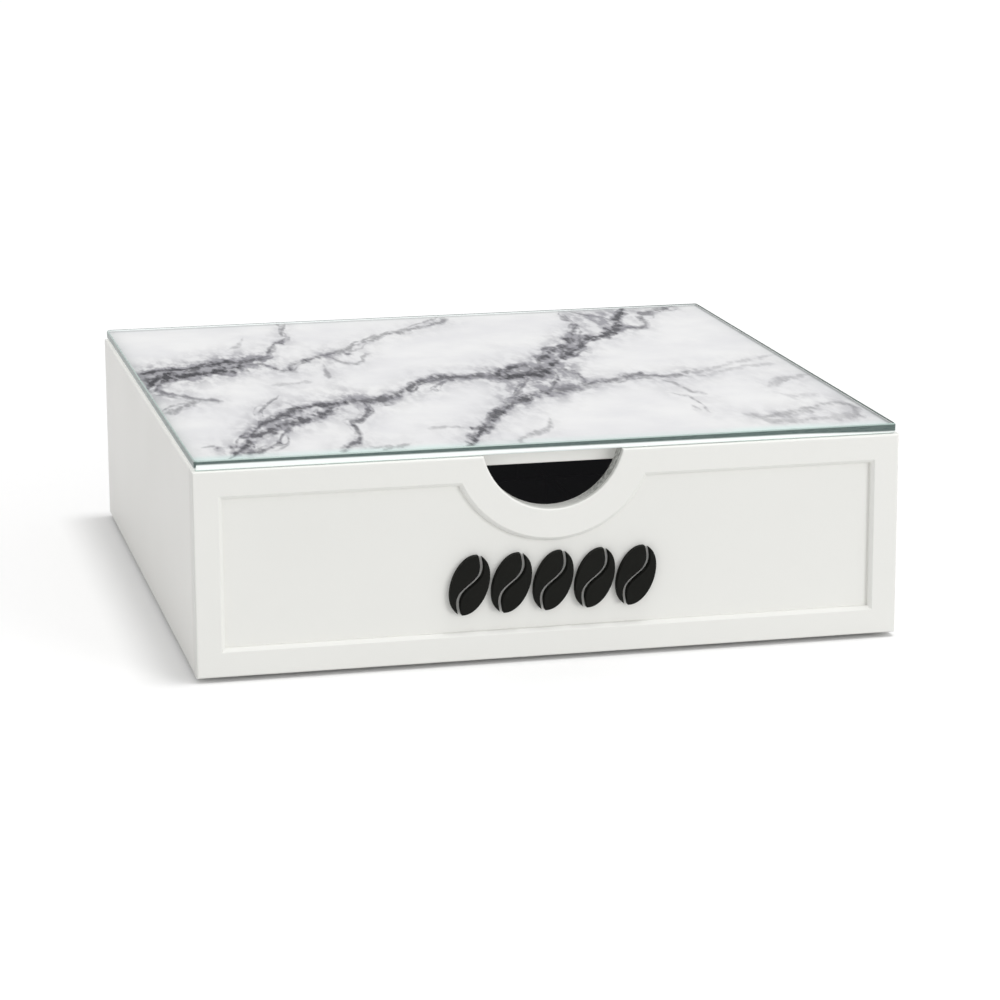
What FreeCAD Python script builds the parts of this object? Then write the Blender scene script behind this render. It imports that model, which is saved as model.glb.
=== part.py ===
"""Coffee capsule drawer: a low white case with a marble glass top and one pull-out drawer.

Millimetres, +Z up. The origin is on the surface it stands on, under the middle of the plan.
X runs along the front, the drawer front faces -Y, and the drawer pulls out towards -Y.
"""
import FreeCAD, Part

import os

Vector = FreeCAD.Vector
Y_AXIS = Vector(0, 1, 0)

# Whole object
overall_width = 300.0
overall_depth = 300.0

# Case boards, all cut from one sheet
case_height = 86.5
board_thickness = 6.0
side_rebate_depth = 3.0  # how far the top, bottom and back boards are let into the sides
board_edge_round = 0.7

# Feet
foot_height = 2.0
foot_radius = 8.0
foot_inset = 20.0  # foot centre to the outside of the case

# Glass top, with its print on the underside
glass_thickness = 4.0
glass_inset = 1.0
glass_corner_radius = 1.5
glass_arris = 0.5
print_thickness = 0.2
print_margin = 0.8
cushion_thickness = 0.3
cushion_radius = 6.0
cushion_inset = 32.0

# Drawer front: a board with an applied frame
frame_thickness = 3.0
frame_width = 12.0
frame_bevel = 1.5
frame_edge_round = 0.8
cutout_radius = 30.2
cutout_centre_rise = 6.5  # centre of the finger cut-out above the top edge of the front
ring_width = 13.6

# Drawer box
drawer_side_clearance = 1.0
drawer_back_clearance = 4.0
wall_thickness = 6.0
wall_top_clearance = 1.0  # under the top board
wall_top_round = 1.0
corner_rebate_depth = 3.0
floor_thickness = 3.0
floor_lift = 4.0  # lower edge of the walls to the underside of the floor
groove_depth = 3.0
groove_clearance = 0.1
floor_edge_gap = 0.4

# Capsule dividers, halved into each other
compartment_count_across = 5
compartment_count_deep = 5
divider_thickness = 3.0
divider_height = 34.0
divider_end_gap = 0.2
divider_corner_radius = 4.0
lap_clearance = 0.1

# Ornament: a row of coffee beans, each in two halves
ornament_thickness = 3.0
bean_count = 5
bean_length = 26.0
bean_width = 15.6
bean_gap = 2.2
bean_lean = 20.0  # degrees from upright
bean_crease_width = 1.7
bean_crease_sway = 2.6
bean_edge_bevel = 0.5
ornament_rise = 1.5  # middle of the row above the middle between the half ring and the lower rail

# Screws through the inner front wall into the drawer front
screw_length = 10.0
screw_radius = 1.75
screw_head_radius = 3.3
screw_head_depth = 1.9
screw_recess_width = 0.9
screw_recess_length = 3.6
screw_recess_depth = 1.1
screw_inset = 33.0  # from the outside of the drawer box
screw_low = 17.0  # above the lower edge of the walls
screw_high = 41.0

# Brad nails, rectangular in section and set below the painted surface
brad_width = 1.3
brad_thickness = 1.0
brad_set = 0.5
case_brad_length = 22.0
case_brad_count_along = 4
case_brad_count_up = 3
case_brad_end_distance = 24.0
drawer_brad_length = 14.0
drawer_brad_count_per_corner = 3
drawer_brad_end_distance = 11.0

# Places worked out from the sizes above
half_width = overall_width / 2
front_y = -overall_depth / 2
back_y = overall_depth / 2
recess_y = front_y + frame_thickness
case_front_y = recess_y + board_thickness
case_low = foot_height
case_top = case_low + case_height
bottom_board_top = case_low + board_thickness
top_board_low = case_top - board_thickness
back_board_front_y = back_y - board_thickness
inner_half_width = half_width - board_thickness
let_in_half_width = inner_half_width + side_rebate_depth

print_low = case_top + cushion_thickness
glass_low = print_low + print_thickness

cutout_z = case_top + cutout_centre_rise
recess_half_width = half_width - frame_width
recess_low = case_low + frame_width
recess_top = case_top - frame_width

wall_low = bottom_board_top
wall_top = top_board_low - wall_top_clearance
wall_half_width = inner_half_width - drawer_side_clearance
cell_half_width = wall_half_width - wall_thickness
box_back_y = back_board_front_y - drawer_back_clearance
inner_front_y = case_front_y + wall_thickness
inner_back_y = box_back_y - wall_thickness
ends_half_width = cell_half_width + corner_rebate_depth
floor_low = wall_low + floor_lift
floor_top = floor_low + floor_thickness

os.makedirs("parts", exist_ok=True)


def block(x0, x1, y0, y1, z0, z1):
    """A rectangular board between two corners."""
    return Part.makeBox(x1 - x0, y1 - y0, z1 - z0, Vector(x0, y0, z0))


def edges_on(shape, **planes):
    """Edges that lie in every plane named, such as edges_on(board, x=10, z=0)."""
    found = []
    for edge in shape.Edges:
        box = edge.BoundBox
        spans = {
            "x": (box.XMin, box.XMax),
            "y": (box.YMin, box.YMax),
            "z": (box.ZMin, box.ZMax),
        }
        if all(abs(spans[a][0] - v) < 1e-3 and abs(spans[a][1] - v) < 1e-3 for a, v in planes.items()):
            found.append(edge)
    return found


def rounded(shape, radius, *groups):
    """The shape with the edges of all the groups rounded."""
    edges = [edge for group in groups for edge in group]
    return shape.makeFillet(radius, edges)


def spread(count, low, high):
    """Evenly spaced places, the first at low and the last at high."""
    if count == 1:
        return [(low + high) / 2]
    step = (high - low) / (count - 1)
    return [low + step * k for k in range(count)]


def keep(name, *solids):
    """Writes one node, which may be a group of separate solids."""
    shape = solids[0] if len(solids) == 1 else Part.makeCompound(list(solids))
    shape.exportStep("parts/" + name + ".step")


# Brads of the case: driven through the sides into the ends of the top, bottom and back boards
def brad_from_side(side, length, surface, y, z):
    """A brad driven inwards from the left (-1) or right (+1) surface."""
    head = side * (surface - brad_set)
    tip = head - side * length
    return block(
        min(head, tip),
        max(head, tip),
        y - brad_width / 2,
        y + brad_width / 2,
        z - brad_thickness / 2,
        z + brad_thickness / 2,
    )


board_brad_ys = spread(
    case_brad_count_along,
    case_front_y + case_brad_end_distance,
    back_board_front_y - case_brad_end_distance,
)
back_brad_zs = spread(
    case_brad_count_up,
    bottom_board_top + case_brad_end_distance / 2,
    top_board_low - case_brad_end_distance / 2,
)
case_brads = []
for side in (-1, 1):
    for y in board_brad_ys:
        for z in (case_low + board_thickness / 2, case_top - board_thickness / 2):
            case_brads.append(brad_from_side(side, case_brad_length, half_width, y, z))
    for z in back_brad_zs:
        y = back_y - board_thickness / 2
        case_brads.append(brad_from_side(side, case_brad_length, half_width, y, z))
case_brad_group = Part.makeCompound(case_brads)
keep("case_brads", *case_brads)


# Side boards, rebated inside for the top, bottom and back boards
def side_board(side):
    """The left (-1) or right (+1) side of the case."""
    inner = side * inner_half_width
    shoulder = side * let_in_half_width
    outer = side * half_width
    board = block(min(inner, outer), max(inner, outer), case_front_y, back_y, case_low, case_top)
    x0, x1 = min(inner, shoulder), max(inner, shoulder)
    board = board.cut(block(x0, x1, case_front_y, back_y, top_board_low, case_top))
    board = board.cut(block(x0, x1, case_front_y, back_y, case_low, bottom_board_top))
    board = board.cut(block(x0, x1, back_board_front_y, back_y, case_low, case_top))
    board = rounded(
        board,
        board_edge_round,
        edges_on(board, x=outer, y=case_front_y),
        edges_on(board, x=outer, y=back_y),
        edges_on(board, x=outer, z=case_low),
        edges_on(board, x=outer, z=case_top),
    )
    return board.cut(case_brad_group)


keep("left_side_board", side_board(-1))
keep("right_side_board", side_board(1))

# Top, bottom and back boards, let into the sides
top_board = block(-let_in_half_width, let_in_half_width, case_front_y, back_board_front_y, top_board_low, case_top)
top_board = rounded(
    top_board,
    board_edge_round,
    edges_on(top_board, y=case_front_y, z=top_board_low),
    edges_on(top_board, y=case_front_y, z=case_top),
)
keep("top_board", top_board.cut(case_brad_group))

bottom_board = block(
    -let_in_half_width, let_in_half_width, case_front_y, back_board_front_y, case_low, bottom_board_top
)
bottom_board = rounded(
    bottom_board,
    board_edge_round,
    edges_on(bottom_board, y=case_front_y, z=bottom_board_top),
    edges_on(bottom_board, y=case_front_y, z=case_low),
)
keep("bottom_board", bottom_board.cut(case_brad_group))

back_board = block(-let_in_half_width, let_in_half_width, back_board_front_y, back_y, case_low, case_top)
back_board = rounded(
    back_board,
    board_edge_round,
    edges_on(back_board, y=back_y, z=case_low),
    edges_on(back_board, y=back_y, z=case_top),
)
keep("back_board", back_board.cut(case_brad_group))

# Four round pads that the case stands on
foot_x = half_width - foot_inset
foot_places = {
    "foot_pad_front_left": (-foot_x, case_front_y + foot_inset),
    "foot_pad_front_right": (foot_x, case_front_y + foot_inset),
    "foot_pad_back_left": (-foot_x, back_y - foot_inset),
    "foot_pad_back_right": (foot_x, back_y - foot_inset),
}
for name, (x, y) in foot_places.items():
    keep(name, Part.makeCylinder(foot_radius, foot_height, Vector(x, y, 0)))

# Glass plate with ground arrises, its printed underside and the clear cushions it lies on
glass_half_width = half_width - glass_inset
glass_half_depth = overall_depth / 2 - glass_inset
glass = block(
    -glass_half_width, glass_half_width, -glass_half_depth, glass_half_depth, glass_low, glass_low + glass_thickness
)
corner_edges = [
    edge
    for x in (-glass_half_width, glass_half_width)
    for y in (-glass_half_depth, glass_half_depth)
    for edge in edges_on(glass, x=x, y=y)
]
glass = glass.makeFillet(glass_corner_radius, corner_edges)
rim_edges = edges_on(glass, z=glass_low) + edges_on(glass, z=glass_low + glass_thickness)
keep("glass_plate", glass.makeChamfer(glass_arris, rim_edges))

print_half_width = glass_half_width - print_margin
print_half_depth = glass_half_depth - print_margin
keep(
    "marble_print",
    block(-print_half_width, print_half_width, -print_half_depth, print_half_depth, print_low, glass_low),
)

cushion_x = half_width - cushion_inset
cushions = [
    Part.makeCylinder(cushion_radius, cushion_thickness, Vector(x, y, case_top))
    for x in (-cushion_x, cushion_x)
    for y in (case_front_y + cushion_inset, back_y - cushion_inset)
]
keep("glass_cushions", *cushions)

# Drawer front board, with the finger cut-out that runs through everything at the front
cutout = Part.makeCylinder(
    cutout_radius,
    inner_front_y - front_y,
    Vector(0, front_y, cutout_z),
    Y_AXIS,
)
screw_x = wall_half_width - screw_inset
screw_places = [(x, wall_low + z) for x in (-screw_x, screw_x) for z in (screw_low, screw_high)]


def screw_at(x, z):
    """A countersunk cross-recess screw, its head flush with the inside of the inner front wall."""
    head = Part.makeCone(
        screw_radius, screw_head_radius, screw_head_depth, Vector(x, inner_front_y - screw_head_depth, z), Y_AXIS
    )
    shank = Part.makeCylinder(
        screw_radius, screw_length - screw_head_depth, Vector(x, inner_front_y - screw_length, z), Y_AXIS
    )
    return shank.fuse(head).removeSplitter()


def screw_recess_at(x, z):
    """The cross recess in a screw head."""
    long, short = screw_recess_length / 2, screw_recess_width / 2
    low = inner_front_y - screw_recess_depth
    bar = block(x - long, x + long, low, inner_front_y, z - short, z + short)
    return bar.fuse(block(x - short, x + short, low, inner_front_y, z - long, z + long))


screw_bodies = [screw_at(x, z) for x, z in screw_places]
keep("front_screws", *[screw_at(x, z).cut(screw_recess_at(x, z)) for x, z in screw_places])

front_board = block(-half_width, half_width, recess_y, case_front_y, case_low, case_top)
front_board = front_board.cut(cutout)
front_board = rounded(
    front_board,
    board_edge_round,
    edges_on(front_board, x=-half_width, y=case_front_y),
    edges_on(front_board, x=half_width, y=case_front_y),
)
keep("drawer_front_board", front_board.cut(Part.makeCompound(screw_bodies)))


# Applied frame: four rails and the half ring in one piece, bevelled round the recess
def rectangle(half, low, top, y):
    """A closed outline in the plane of the front."""
    corners = [
        Vector(-half, y, low),
        Vector(half, y, low),
        Vector(half, y, top),
        Vector(-half, y, top),
        Vector(-half, y, low),
    ]
    return Part.makePolygon(corners)


bevel_y = front_y + frame_bevel
ring_radius = cutout_radius + ring_width
straight_recess = block(-recess_half_width, recess_half_width, bevel_y, recess_y, recess_low, recess_top)
straight_recess = straight_recess.cut(
    Part.makeCylinder(ring_radius, recess_y - bevel_y, Vector(0, bevel_y, cutout_z), Y_AXIS)
)
bevelled_recess = Part.makeLoft(
    [
        rectangle(
            recess_half_width + frame_bevel,
            recess_low - frame_bevel,
            recess_top + frame_bevel,
            front_y,
        ),
        rectangle(recess_half_width, recess_low, recess_top, bevel_y),
    ],
    True,
    True,
)
bevelled_recess = bevelled_recess.cut(
    Part.makeCone(ring_radius - frame_bevel, ring_radius, frame_bevel, Vector(0, front_y, cutout_z), Y_AXIS)
)
frame = block(-half_width, half_width, front_y, recess_y, case_low, case_top).cut(cutout)
frame = frame.makeFillet(frame_edge_round, edges_on(frame, y=front_y))
keep("drawer_front_frame", frame.cut(straight_recess).cut(bevelled_recess))


# Ornament: flat beans glued to the recess, each split in two by an S-shaped crease
def crease(y):
    """The crease of an upright bean, as a face in the plane of the front: two equal arcs that meet in an S."""
    half_length = bean_length / 2
    sway = bean_crease_sway
    tips = Vector(0, y, -half_length), Vector(0, y, half_length)
    middle = Vector(0, y, 0)
    lower = Part.Arc(tips[0], Vector(-sway, y, -half_length / 2), middle).toShape()
    upper = Part.Arc(middle, Vector(sway, y, half_length / 2), tips[1]).toShape()
    radius = half_length**2 / (8 * sway) + sway / 2
    leaving = Vector(-half_length / 2, 0, radius - sway).normalize() * bean_crease_width
    entering = Part.LineSegment(tips[0] - leaving, tips[0]).toShape()
    exiting = Part.LineSegment(tips[1], tips[1] + leaving).toShape()
    path = Part.Wire([entering, lower, upper, exiting])
    return path.makeOffset2D(bean_crease_width / 2, 0, True, False)


def bean(x, z):
    """One bean, leaning to the right, as its two halves."""
    low_y = recess_y - ornament_thickness
    middle = Vector(0, low_y, 0)
    outline = Part.Ellipse(Vector(0, low_y, bean_length / 2), Vector(bean_width / 2, low_y, 0), middle)
    plate = Part.Face(Part.Wire(outline.toShape())).extrude(Y_AXIS * ornament_thickness)
    plate = plate.makeChamfer(bean_edge_bevel, edges_on(plate, y=low_y))
    halves = plate.cut(crease(low_y).extrude(Y_AXIS * ornament_thickness))
    halves.rotate(middle, Y_AXIS, bean_lean)
    halves.translate(Vector(x, 0, z))
    return halves.Solids


row_half = (bean_width + bean_gap) * (bean_count - 1) / 2
row_z = (recess_low + cutout_z - ring_radius) / 2 + ornament_rise
bean_halves = []
for x in spread(bean_count, -row_half, row_half):
    bean_halves += bean(x, row_z)
keep("bean_ornament", *bean_halves)

# Drawer box walls: the sides run full length, the inner front and back are let into their ends
drawer_brads = []
for side in (-1, 1):
    for y in (case_front_y + wall_thickness / 2, box_back_y - wall_thickness / 2):
        for z in spread(
            drawer_brad_count_per_corner, wall_low + drawer_brad_end_distance, wall_top - drawer_brad_end_distance
        ):
            drawer_brads.append(brad_from_side(side, drawer_brad_length, wall_half_width, y, z))
drawer_brad_group = Part.makeCompound(drawer_brads)
keep("drawer_brads", *drawer_brads)

floor_groove = block(
    -cell_half_width - groove_depth,
    cell_half_width + groove_depth,
    inner_front_y - groove_depth,
    inner_back_y + groove_depth,
    floor_low,
    floor_top + groove_clearance,
)


def drawer_side(side):
    """The left (-1) or right (+1) wall of the drawer box, its ends cut back inside for the other two walls."""
    inner = side * cell_half_width
    shoulder = side * ends_half_width
    outer = side * wall_half_width
    wall = block(min(inner, outer), max(inner, outer), case_front_y, box_back_y, wall_low, wall_top)
    wall = rounded(wall, wall_top_round, edges_on(wall, x=inner, z=wall_top), edges_on(wall, x=outer, z=wall_top))
    x0, x1 = min(inner, shoulder), max(inner, shoulder)
    wall = wall.cut(block(x0, x1, case_front_y, inner_front_y, wall_low, wall_top))
    wall = wall.cut(block(x0, x1, inner_back_y, box_back_y, wall_low, wall_top))
    return wall.cut(floor_groove).cut(drawer_brad_group)


keep("drawer_left_side", drawer_side(-1))
keep("drawer_right_side", drawer_side(1))


def drawer_end(y0, y1, inner_y):
    """A wall across the drawer box, its top edge rounded on the inside."""
    wall = block(-ends_half_width, ends_half_width, y0, y1, wall_low, wall_top)
    wall = rounded(wall, wall_top_round, edges_on(wall, y=inner_y, z=wall_top))
    return wall.cut(floor_groove).cut(drawer_brad_group)


inner_front = drawer_end(case_front_y, inner_front_y, inner_front_y).cut(cutout)
keep("drawer_inner_front", inner_front.cut(Part.makeCompound(screw_bodies)))
keep("drawer_back", drawer_end(inner_back_y, box_back_y, inner_back_y))

floor_half_width = cell_half_width + groove_depth - floor_edge_gap
floor_front_y = inner_front_y - groove_depth + floor_edge_gap
floor_back_y = inner_back_y + groove_depth - floor_edge_gap
keep(
    "drawer_floor",
    block(-floor_half_width, floor_half_width, floor_front_y, floor_back_y, floor_low, floor_top),
)

# Dividers, halved into each other: those along the drawer are slotted from above, those across from below
divider_top = floor_top + divider_height
lap_z = floor_top + divider_height / 2
slot_half = divider_thickness / 2 + lap_clearance


def between(count, low, high):
    """The middles of the dividers that split a length into equal compartments."""
    clear = (high - low - divider_thickness * (count - 1)) / count
    return [low + clear * k + divider_thickness * (k - 0.5) for k in range(1, count)]


along_xs = between(compartment_count_across, -cell_half_width, cell_half_width)
across_ys = between(compartment_count_deep, inner_front_y, inner_back_y)
divider_front_y = inner_front_y + divider_end_gap
divider_back_y = inner_back_y - divider_end_gap
divider_half_width = cell_half_width - divider_end_gap

for number, x in enumerate(along_xs, 1):
    x0, x1 = x - divider_thickness / 2, x + divider_thickness / 2
    plate = block(x0, x1, divider_front_y, divider_back_y, floor_top, divider_top)
    plate = rounded(
        plate,
        divider_corner_radius,
        edges_on(plate, y=divider_front_y, z=divider_top),
        edges_on(plate, y=divider_back_y, z=divider_top),
    )
    for y in across_ys:
        plate = plate.cut(block(x0, x1, y - slot_half, y + slot_half, lap_z - lap_clearance, divider_top))
    keep("divider_along_" + str(number), plate)

for number, y in enumerate(across_ys, 1):
    y0, y1 = y - divider_thickness / 2, y + divider_thickness / 2
    plate = block(-divider_half_width, divider_half_width, y0, y1, floor_top, divider_top)
    plate = rounded(
        plate,
        divider_corner_radius,
        edges_on(plate, x=-divider_half_width, z=divider_top),
        edges_on(plate, x=divider_half_width, z=divider_top),
    )
    for x in along_xs:
        plate = plate.cut(block(x - slot_half, x + slot_half, y0, y1, floor_top, lap_z))
    keep("divider_across_" + str(number), plate)
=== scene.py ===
"""Coffee capsule drawer: white lacquered case, marble glass top, one pull-out drawer.

Metres, +Z up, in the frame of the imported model. The drawer front faces -Y.
"""

import math

import bpy
import numpy as np
from mathutils import Matrix, Vector


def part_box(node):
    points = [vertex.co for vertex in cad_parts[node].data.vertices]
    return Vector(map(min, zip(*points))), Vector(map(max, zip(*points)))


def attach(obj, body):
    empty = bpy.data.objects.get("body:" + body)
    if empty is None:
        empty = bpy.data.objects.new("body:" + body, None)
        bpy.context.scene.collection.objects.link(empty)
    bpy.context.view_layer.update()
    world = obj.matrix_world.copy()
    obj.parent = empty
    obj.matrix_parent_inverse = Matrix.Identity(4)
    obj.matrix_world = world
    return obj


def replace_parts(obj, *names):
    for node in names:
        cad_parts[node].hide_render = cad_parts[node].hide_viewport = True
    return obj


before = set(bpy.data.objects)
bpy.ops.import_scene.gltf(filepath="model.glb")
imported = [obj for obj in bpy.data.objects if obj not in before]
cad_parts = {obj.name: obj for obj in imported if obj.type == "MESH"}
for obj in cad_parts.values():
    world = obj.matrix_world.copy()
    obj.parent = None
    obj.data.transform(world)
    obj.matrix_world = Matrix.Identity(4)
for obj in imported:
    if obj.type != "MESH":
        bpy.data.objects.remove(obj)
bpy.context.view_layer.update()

mm = 0.001


# Case boards. Five boards of lacquered fibreboard, glued and nailed: the top, bottom and back boards are
# let into rebates in the sides. The lacquer is sprayed white, satin, with a faint orange peel, and a little
# rougher where it has soaked into cut edges.
def srgb(red, green, blue):
    """A colour read from 0 to 255 on a screen, as the linear colour that a shader takes."""
    levels = np.array([red, green, blue]) / 255
    linear = np.where(levels <= 0.04045, levels / 12.92, ((levels + 0.055) / 1.055) ** 2.4)
    return (*linear.tolist(), 1.0)


class Flow:
    """One output of a material's nodes, which can be added, multiplied and ramped like a number."""

    def __init__(self, tree, socket=None):
        self.tree = tree
        self.socket = socket

    def node(self, kind, settings=None, sockets=None, output=0):
        """Makes a node, sets it, sets its sockets to numbers or other flows, and returns an output."""
        made = self.tree.nodes.new("ShaderNode" + kind)
        for name, value in (settings or {}).items():
            setattr(made, name, value)
        for name, value in (sockets or {}).items():
            if isinstance(value, Flow):
                self.tree.links.new(value.socket, made.inputs[name])
            else:
                made.inputs[name].default_value = value
        return Flow(self.tree, made.outputs[output])

    def math(self, operation, first, second):
        return self.node("Math", {"operation": operation}, {0: first, 1: second})

    def __add__(self, other):
        return self.math("ADD", self, other)

    __radd__ = __add__

    def __sub__(self, other):
        return self.math("SUBTRACT", self, other)

    def __rsub__(self, other):
        return self.math("SUBTRACT", other, self)

    def __mul__(self, other):
        return self.math("MULTIPLY", self, other)

    __rmul__ = __mul__

    def __truediv__(self, other):
        return self.math("DIVIDE", self, other)

    def __rtruediv__(self, other):
        return self.math("DIVIDE", other, self)

    def __pow__(self, other):
        return self.math("POWER", self, other)

    def __rpow__(self, other):
        return self.math("POWER", other, self)

    def least(self, other):
        return self.math("MINIMUM", self, other)

    def most(self, other):
        return self.math("MAXIMUM", self, other)

    def distance(self):
        return self.math("ABSOLUTE", self, 0.0)

    def ramp(self, start, end, low=0.0, high=1.0):
        """Rises smoothly from low to high while this value goes from start to end."""
        limits = {"From Min": start, "From Max": end, "To Min": low, "To Max": high}
        return self.node("MapRange", {"interpolation_type": "SMOOTHSTEP"}, {"Value": self, **limits})

    def tint(self, colour, other):
        """This factor's mix from one colour to the other."""
        return self.node("Mix", {"data_type": "RGBA"}, {"Factor": self, 6: colour, 7: other}, 2)

    def place(self, output="Object"):
        return self.node("TexCoord", output=output)

    def axes(self):
        """The three numbers of a vector."""
        first = self.node("SeparateXYZ", sockets={"Vector": self})
        outputs = first.socket.node.outputs
        return [Flow(self.tree, outputs[axis]) for axis in "XYZ"]

    def noise(self, size, detail=3.0, roughness=0.5, stretch=(1.0, 1.0, 1.0)):
        """Cloudy noise from 0 to 1 with features of a size in metres, drawn out along axes by stretch."""
        frame_of_noise = {"Vector": self.place(), "Scale": [size * share for share in stretch]}
        place = self.node("Mapping", {"vector_type": "TEXTURE"}, frame_of_noise)
        look = {"Vector": place, "Scale": 1.0, "Detail": detail, "Roughness": roughness}
        return self.node("TexNoise", sockets=look)

    def attribute(self, name):
        return self.node("Attribute", {"attribute_name": name}, output="Fac")

    def rays(self, *kinds):
        """One for light rays of any of these kinds, and zero for all others."""
        any_kind = self.node("LightPath", output=f"Is {kinds[0]} Ray")
        outputs = any_kind.socket.node.outputs
        for kind in kinds[1:]:
            any_kind = any_kind.most(Flow(self.tree, outputs[f"Is {kind} Ray"]))
        return any_kind

    def relief(self, height, depth):
        """A normal bent by a height field whose range from 0 to 1 is a depth in metres."""
        return self.node("Bump", sockets={"Height": height, "Distance": depth, "Strength": 1.0})


def new_finish(name):
    """An empty material and the flow that its nodes are made from."""
    material = bpy.data.materials.new(name)
    material.use_nodes = True
    material.node_tree.nodes.clear()
    return material, Flow(material.node_tree)


def show(flow, shader, kind="Material"):
    """Ends a material, or a world, with a shader."""
    end = flow.tree.nodes.new("ShaderNodeOutput" + kind)
    flow.tree.links.new(shader.socket, end.inputs["Surface"])


def coat_with(flow, **sockets):
    """A main shader from socket names written with underscores."""
    named = {name.replace("_", " "): value for name, value in sockets.items()}
    return flow.node("BsdfPrincipled", sockets=named)


def darkened(colour, levels):
    """A colour that is darker by a number of screen levels."""
    return srgb(*[level - levels for level in colour])


edge_shade = 9  # screen levels
# screen levels darker in the cut-out's wall: soaked-in lacquer, and painted shade on its steep sides
soak_and_wall_shade = 78
joint_grey = (126, 124, 120)


def lacquer(name, colour, edge_axis=None, cutout=None):
    """Sprayed satin lacquer. Cut edges, whose normal is along edge_axis, are duller and a shade darker.

    In the wall of a round cut-out, given as the height of its middle, its radius and a joint's depth, the
    lacquer has soaked into the board behind the joint, and the joint shows as a fine dark line. The soaked
    patch is also painted shade: it is much darker on the steep sides of the wall than on the ledge below."""
    material, flow = new_finish(name)
    peel = flow.noise(2.4 * mm, detail=1.5)
    dust = flow.noise(0.35 * mm, detail=2.0)
    cloud = flow.noise(70 * mm, detail=2.0)
    edge = 0.0
    if edge_axis is not None:
        across = flow.place("Normal").axes()["XYZ".index(edge_axis)]
        edge = across.distance().ramp(0.85, 0.99)
    tone = cloud.ramp(0.3, 0.7, 0.0, 0.12) + dust.ramp(0.62, 0.8, 0.0, 0.1) + edge * 0.55
    height = peel * 0.8 + dust * (edge * 0.6 + 0.12)
    paint = tone.tint(srgb(*colour), darkened(colour, edge_shade))
    if cutout is not None:
        middle_z, radius, joint_y = cutout
        x, y, z = flow.place().axes()
        reach = (x * x + (z - middle_z) * (z - middle_z)) ** 0.5
        # Painted shade: the steep sides of the cut-out's wall are painted much darker than the ledge at the
        # bottom, on top of the grainy soaked-in lacquer
        steep_wall_shade = (x.distance() / radius).ramp(0.2, 0.75, 0.15, 1.0)
        wall = (1 - (reach - radius).ramp(0.05 * mm, 0.35 * mm)) * steep_wall_shade
        board = (y - joint_y).ramp(-0.2 * mm, 0.4 * mm, 0.35, 1.0)
        soak_and_shade = flow.noise(1.5 * mm, detail=2.0, roughness=0.6).ramp(0.36, 0.62, 0.3, 1.0) * board
        joint = 1 - (y - joint_y).distance().ramp(0.1 * mm, 0.5 * mm)
        paint = (wall * soak_and_shade).tint(paint, darkened(colour, soak_and_wall_shade))
        paint = (wall * joint * 0.6).tint(paint, srgb(*joint_grey))
        height = height + wall * soak_and_shade * 1.2
    shader = coat_with(
        flow,
        Base_Color=paint,
        Roughness=cloud.ramp(0.2, 0.8, 0.36, 0.44) + edge * 0.12 + dust * 0.04,
        Normal=flow.relief(height, 0.03 * mm),
        IOR=1.5,
    )
    show(flow, shader)
    return material


def dress(material, *nodes):
    """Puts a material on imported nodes."""
    for node in nodes:
        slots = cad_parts[node].data.materials
        slots.clear()
        slots.append(material)


case_colour = (240, 239, 235)
case_lacquer = lacquer("white_lacquer", case_colour)
dress(case_lacquer, "left_side_board", "right_side_board", "top_board", "bottom_board", "back_board")


# Nails and feet. Plain wire brads are shot through the sides and filled over, and four pads of black foam
# rubber are stuck under the corners.
wire_dark = srgb(150, 150, 152)
wire_bright = srgb(184, 184, 186)


def wire_steel():
    material, flow = new_finish("brad_steel")
    drawn = flow.noise(0.3 * mm, detail=2.0, stretch=(12, 1, 1))
    shader = coat_with(
        flow,
        Base_Color=drawn.tint(wire_dark, wire_bright),
        Metallic=1.0,
        Roughness=drawn.ramp(0.2, 0.8, 0.3, 0.5),
    )
    show(flow, shader)
    return material


foam_cell = 0.7 * mm
foam_dark = srgb(26, 26, 27)
foam_pale = srgb(58, 58, 60)


def foam_rubber():
    material, flow = new_finish("foot_foam")
    packing = {"Vector": flow.place(), "Scale": 1 / foam_cell}
    cells = flow.node("TexVoronoi", sockets=packing, output="Distance")
    shader = coat_with(
        flow,
        Base_Color=cells.ramp(0.1, 0.7).tint(foam_dark, foam_pale),
        Roughness=0.85,
        Normal=flow.relief(cells, 0.15 * mm),
    )
    show(flow, shader)
    return material


dress(wire_steel(), "case_brads", "drawer_brads")
feet = [f"foot_pad_{end}_{side}" for end in ("front", "back") for side in ("left", "right")]
dress(foam_rubber(), *feet)

# Drawer front. A board with an applied frame, one piece cut from thinner board: four rails and the half ring
# round the finger cut-out. Its recess is bevelled, and its outer edges are eased before it is sprayed.
front_colour = (240, 240, 236)
front_low, front_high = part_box("drawer_front_frame")
front_y = front_low.y
recess_y = front_high.y
rail_width = 12 * mm
bevel_depth = 1.5 * mm
cutout_radius = 30.2 * mm
cutout_rise = 6.5 * mm  # the middle of the cut-out lies this much above the front's top edge
cutout_z = front_high.z + cutout_rise
ring_width = 13.6 * mm
ring_radius = cutout_radius + ring_width
outer_arris = 0.8 * mm
bevel_arris = 0.45 * mm
arc_steps = 64
beside = 0.1 * mm  # a narrow flat beside each rounding keeps the shading of the large faces even


def loop(half_width, low, top, radius):
    """Corners of a rectangle whose top edge is broken by an arc about the middle of the cut-out.

    Anticlockwise from the lower left, as seen from the front: two lower corners, the upper right one, the
    arc from right to left at equal angles, and the upper left corner, as rows of x and z."""
    reach = math.acos((cutout_z - top) / radius)
    angles = np.linspace(reach, -reach, arc_steps)
    arc = np.stack([radius * np.sin(angles), cutout_z - radius * np.cos(angles)], axis=1)
    corners = np.array([[-half_width, low], [half_width, low], [half_width, top]])
    return np.concatenate([corners, arc, [[-half_width, top]]])


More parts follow.
